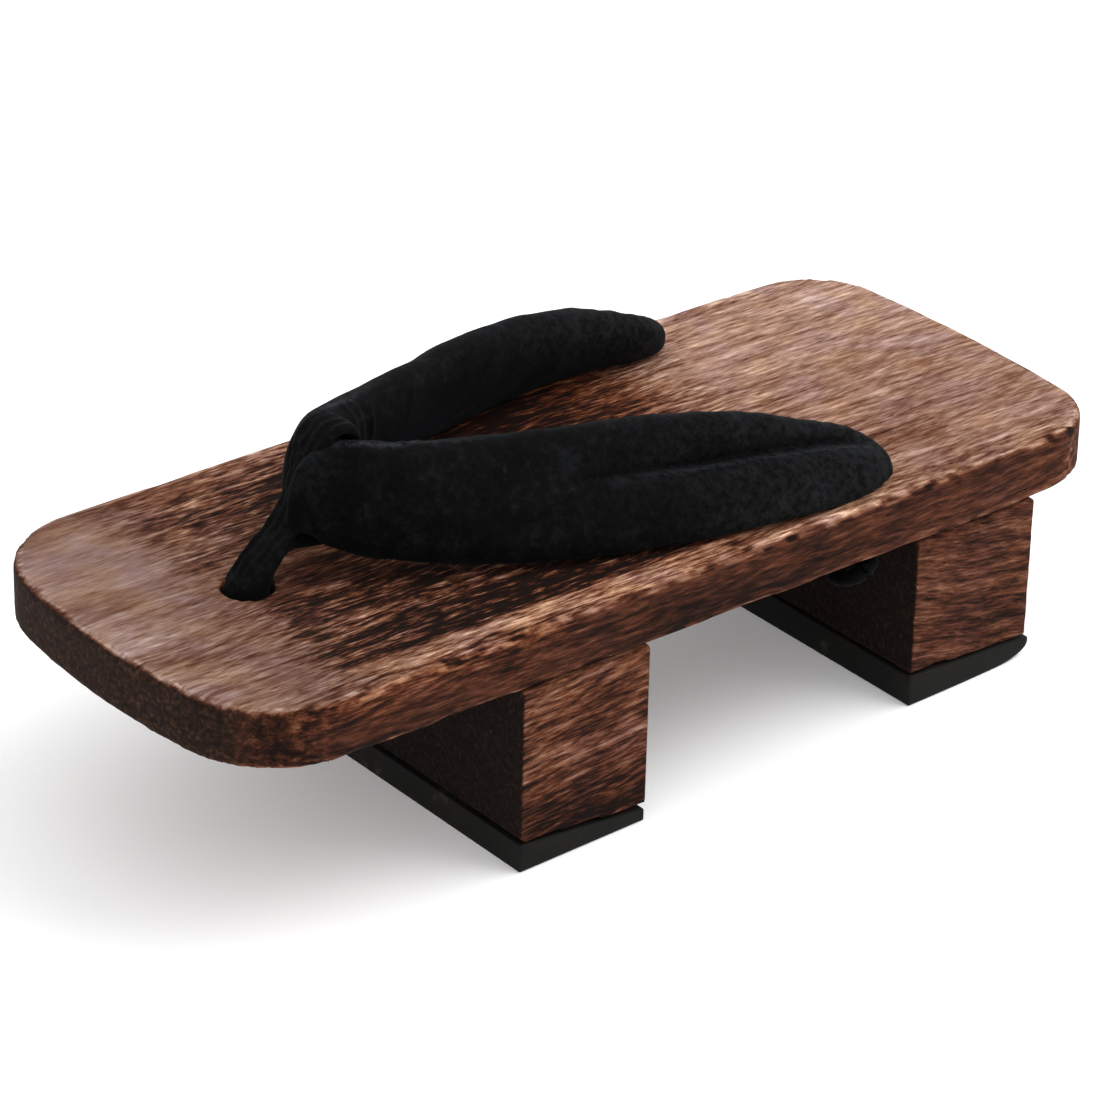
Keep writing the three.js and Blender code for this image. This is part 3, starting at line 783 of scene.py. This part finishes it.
# The nap is worn paler towards the tip, and highlights are painted along the sewn top edge, under the crease
# and at the inner foot.
rubbed_to_tip = 0.16
rubbed_and_sheen = rubbed_to_tip * fade(strap_points[:, 1], -25 * MM, 55 * MM)
for line in RUBBED_AND_SHEEN.values():
    gap, share = across_path(on_near_arm, laid_on(near_points, line["path"]))
    rubbed_and_sheen = np.maximum(rubbed_and_sheen, share * np.exp(-(gap / (line["width"] * MM)) ** 2))
fuzz_and_sheen = strap.data.attributes.new("fuzz_and_sheen", "FLOAT", "POINT")
fuzz_and_sheen.data.foreach_set("value", rubbed_and_sheen.astype(np.float32))
strap.data.materials.clear()
strap.data.materials.append(velvet_material("strap velvet", 0.25))
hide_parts("strap")
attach(strap, "root")

# The front thong is a folded band of the same velvet. It comes up through the front hole, goes over
# the sewn nose, down between the arms and back under the nose, where it is sewn to itself.
# Its folds are ridges along the band, it is pulled thinner ahead of the nose, and it fills the hole.
thong_step = 0.6 * MM
fold_gap = 2.6
fold_share = 0.30
edge_share = 0.35
crumple = {"across": 2.2 * MM, "along": 6 * MM, "seed": 23}
crumple_share = 0.6
ridge_height = 0.6
thinned = 0.5 * MM
filled = 0.6 * MM
narrowed = 0.25
raised = 1.2 * MM
thong = in_board_frame("thong", "thong_band")
even_skin(thong, thong_step)
thong_points = points_of(thong.data)
off_middle = np.abs(thong_points[:, 0]) / MM
ridges = fold_share * np.cos(2 * math.pi * off_middle / fold_gap) - edge_share * fade(off_middle, 3.2, 4.6)
ridges += crumple_share * noise_at(thong_points, **crumple)
ridges *= fade(thong_points[:, 2], 0, 3 * MM)
slack = thinned * fade(-thong_points[:, 1], 75 * MM, 80 * MM) * fade(thong_points[:, 2], 1 * MM, 4 * MM)
slack -= filled * (1 - fade(thong_points[:, 2], -2.5 * MM, -0.5 * MM))
thong_points -= points_of(thong.data, "normal") * (ridges * ridge_height * MM + slack)[:, None]
under_nose = fade(thong_points[:, 1], -79 * MM, -75 * MM) * (1 - fade(thong_points[:, 2], 7 * MM, 12 * MM))
thong_points[:, 0] *= 1 - narrowed * under_nose
thong_points[:, 2] += raised * under_nose
set_points(thong.data, thong_points)
thong.data.materials.clear()
thong.data.materials.append(velvet_material("thong velvet", 0.3))
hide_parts("thong")
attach(thong, "root")

# Black cotton cords of three twisted strands tie the thong and both strap tips down through the
# board's holes. Each is knotted against the underside and ends in a short tail. The knot is a
# trefoil: it runs round twice, and swings in and out three times on the way.
cord_radius = 1.8 * MM
knot_radius = 4.8 * MM
knot_gap = 0.3 * MM
strand_pitch = 7 * MM
knot_steps = 120
drop_steps = 30
strands = 3
cord_sides = 18


def twisted_skin(shape, path, closed):
    """A skin of twisted strands round a path, closed on itself or with tapered ends"""
    between_strands, strand_rise = 0.80, 0.22
    least_end, taper_steps = 0.25, 2
    any_direction = [0.3, 0.9, 0.2]
    run = np.roll(path, -1, axis=0) - np.roll(path, 1, axis=0)
    if not closed:
        run[0], run[-1] = path[1] - path[0], path[-1] - path[-2]
    run /= np.linalg.norm(run, axis=1)[:, None]
    length = np.concatenate([[0], np.cumsum(np.linalg.norm(np.diff(path, axis=0), axis=1))])
    side = np.cross(run[0], any_direction)
    rings = []
    for index, place in enumerate(path):
        side = side - run[index] * (side @ run[index])
        side /= np.linalg.norm(side)
        above = np.cross(run[index], side)
        from_end = min(index, len(path) - 1 - index)
        end = 1 if closed else min(1, least_end + (1 - least_end) * from_end / taper_steps)
        ring = []
        for count in range(cord_sides):
            angle = 2 * math.pi * count / cord_sides
            lobe = abs(math.cos(strands / 2 * (angle - 2 * math.pi * length[index] / strand_pitch)))
            reach = cord_radius * end * (between_strands + strand_rise * lobe)
            ring.append(shape.verts.new(place + reach * (math.cos(angle) * side + math.sin(angle) * above)))
        rings.append(ring)
    pairs = list(zip(rings, rings[1:])) + ([(rings[-1], rings[0])] if closed else [])
    for ring, following in pairs:
        for count in range(cord_sides):
            after = (count + 1) % cord_sides
            shape.faces.new((ring[count], ring[after], following[after], following[count]))
    if not closed:
        shape.faces.new(list(reversed(rings[0])))
        shape.faces.new(rings[-1])


for cord_name in ("cord_front", "cord_left", "cord_right"):
    tie = in_board_frame(cord_name, cord_name + "_twisted")
    solid_points = points_of(tie.data)
    shaft = solid_points[solid_points[:, 2] > -board_thick]
    middle = np.array([shaft[:, 0].mean(), shaft[:, 1].mean(), 0])
    top, bottom = solid_points[:, 2].max(), solid_points[:, 2].min()
    knot_middle = -board_thick - knot_gap - knot_radius / 2 - cord_radius
    turn = np.linspace(0, 4 * math.pi, knot_steps, endpoint=False)
    swing = knot_radius * (2 + np.cos(1.5 * turn)) / 2
    rise = knot_middle + knot_radius * np.sin(1.5 * turn) / 2
    knot = middle + np.stack([swing * np.cos(turn), swing * np.sin(turn), rise], axis=1)
    level = np.zeros(drop_steps)
    drop = middle + np.stack([level, level, np.linspace(top, bottom, drop_steps)], axis=1)
    twisted = bmesh.new()
    twisted_skin(twisted, knot, closed=True)
    twisted_skin(twisted, drop, closed=False)
    twisted.to_mesh(tie.data)
    twisted.free()
    for face in tie.data.polygons:
        face.use_smooth = True
    tie.data.materials.clear()
    tie.data.materials.append(bpy.data.materials["thong velvet"])
    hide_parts(cord_name)
    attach(tie, "root")

# The floor isn't part of the shoe. It is plain, matt and nearly white, large enough to fill the
# view, and a little lit from within, so that only soft shadows show on it.
floor_size = 6
floor_mesh = bpy.data.meshes.new("floor")
floor_mesh.from_pydata(
    [(x * floor_size / 2, y * floor_size / 2, 0) for x, y in ((-1, -1), (1, -1), (1, 1), (-1, 1))],
    [], [(0, 1, 2, 3)])
floor = bpy.data.objects.new("floor", floor_mesh)
bpy.context.scene.collection.objects.link(floor)
floor_paint = bpy.data.materials.new("floor paint")
floor_paint.use_nodes = True
floor_shader = floor_paint.node_tree.nodes["Principled BSDF"]
floor_shader.inputs["Base Color"].default_value = (0.93, 0.93, 0.93, 1)
floor_shader.inputs["Roughness"].default_value = 0.9
floor_shader.inputs["Emission Color"].default_value = (1, 1, 1, 1)
floor_shader.inputs["Emission Strength"].default_value = 0.12
floor_mesh.materials.append(floor_paint)

# The light is a studio's, soft from all sides: a bright white room, and one wide lamp over the heel
# on the near side.
world = bpy.data.worlds.new("studio")
world.use_nodes = True
world.node_tree.nodes["Background"].inputs["Color"].default_value = (1, 1, 1, 1)
world.node_tree.nodes["Background"].inputs["Strength"].default_value = 1.08
bpy.context.scene.world = world
lamp_place = Vector((0.55, 0.75, 1.2))
lamp_light = bpy.data.lights.new("key", "AREA")
lamp_light.size = 1.1
lamp_light.energy = 13
lamp = bpy.data.objects.new("key", lamp_light)
lamp.location = lamp_place
lamp.rotation_euler = (-lamp_place).to_track_quat("-Z", "Y").to_euler()
bpy.context.scene.collection.objects.link(lamp)
bpy.context.scene.view_settings.view_transform = "Standard"

# The camera stands where the photograph's did: its angle and distance are given in the board's frame,
# with a long lens and a slight roll.
view_azimuth = math.radians(50.61)
view_elevation = math.radians(28.09)
view_roll = math.radians(1.39)
view_distance = 1.1325
aim_right = -0.0021
aim_up = -0.0163
sensor_width = 36
focal_pixels = 5053.5
photo_pixels = 1100

view_back = Vector((
    math.sin(view_azimuth) * math.cos(view_elevation),
    -math.cos(view_azimuth) * math.cos(view_elevation),
    math.sin(view_elevation),
))
level_right = (-view_back).cross(Vector((0, 0, 1))).normalized()
level_up = level_right.cross(-view_back)
view_right = level_right * math.cos(view_roll) + level_up * math.sin(view_roll)
view_up = level_up * math.cos(view_roll) - level_right * math.sin(view_roll)
view_from = view_back * view_distance + view_right * aim_right + view_up * aim_up
camera_data = bpy.data.cameras.new("camera")
camera_data.sensor_width = sensor_width
camera_data.lens = sensor_width * focal_pixels / photo_pixels
camera = bpy.data.objects.new("camera", camera_data)
camera_axes = Matrix((view_right, view_up, view_back)).transposed().to_4x4()
camera.matrix_world = board_place @ Matrix.Translation(view_from) @ camera_axes
bpy.context.scene.collection.objects.link(camera)
bpy.context.scene.camera = camera
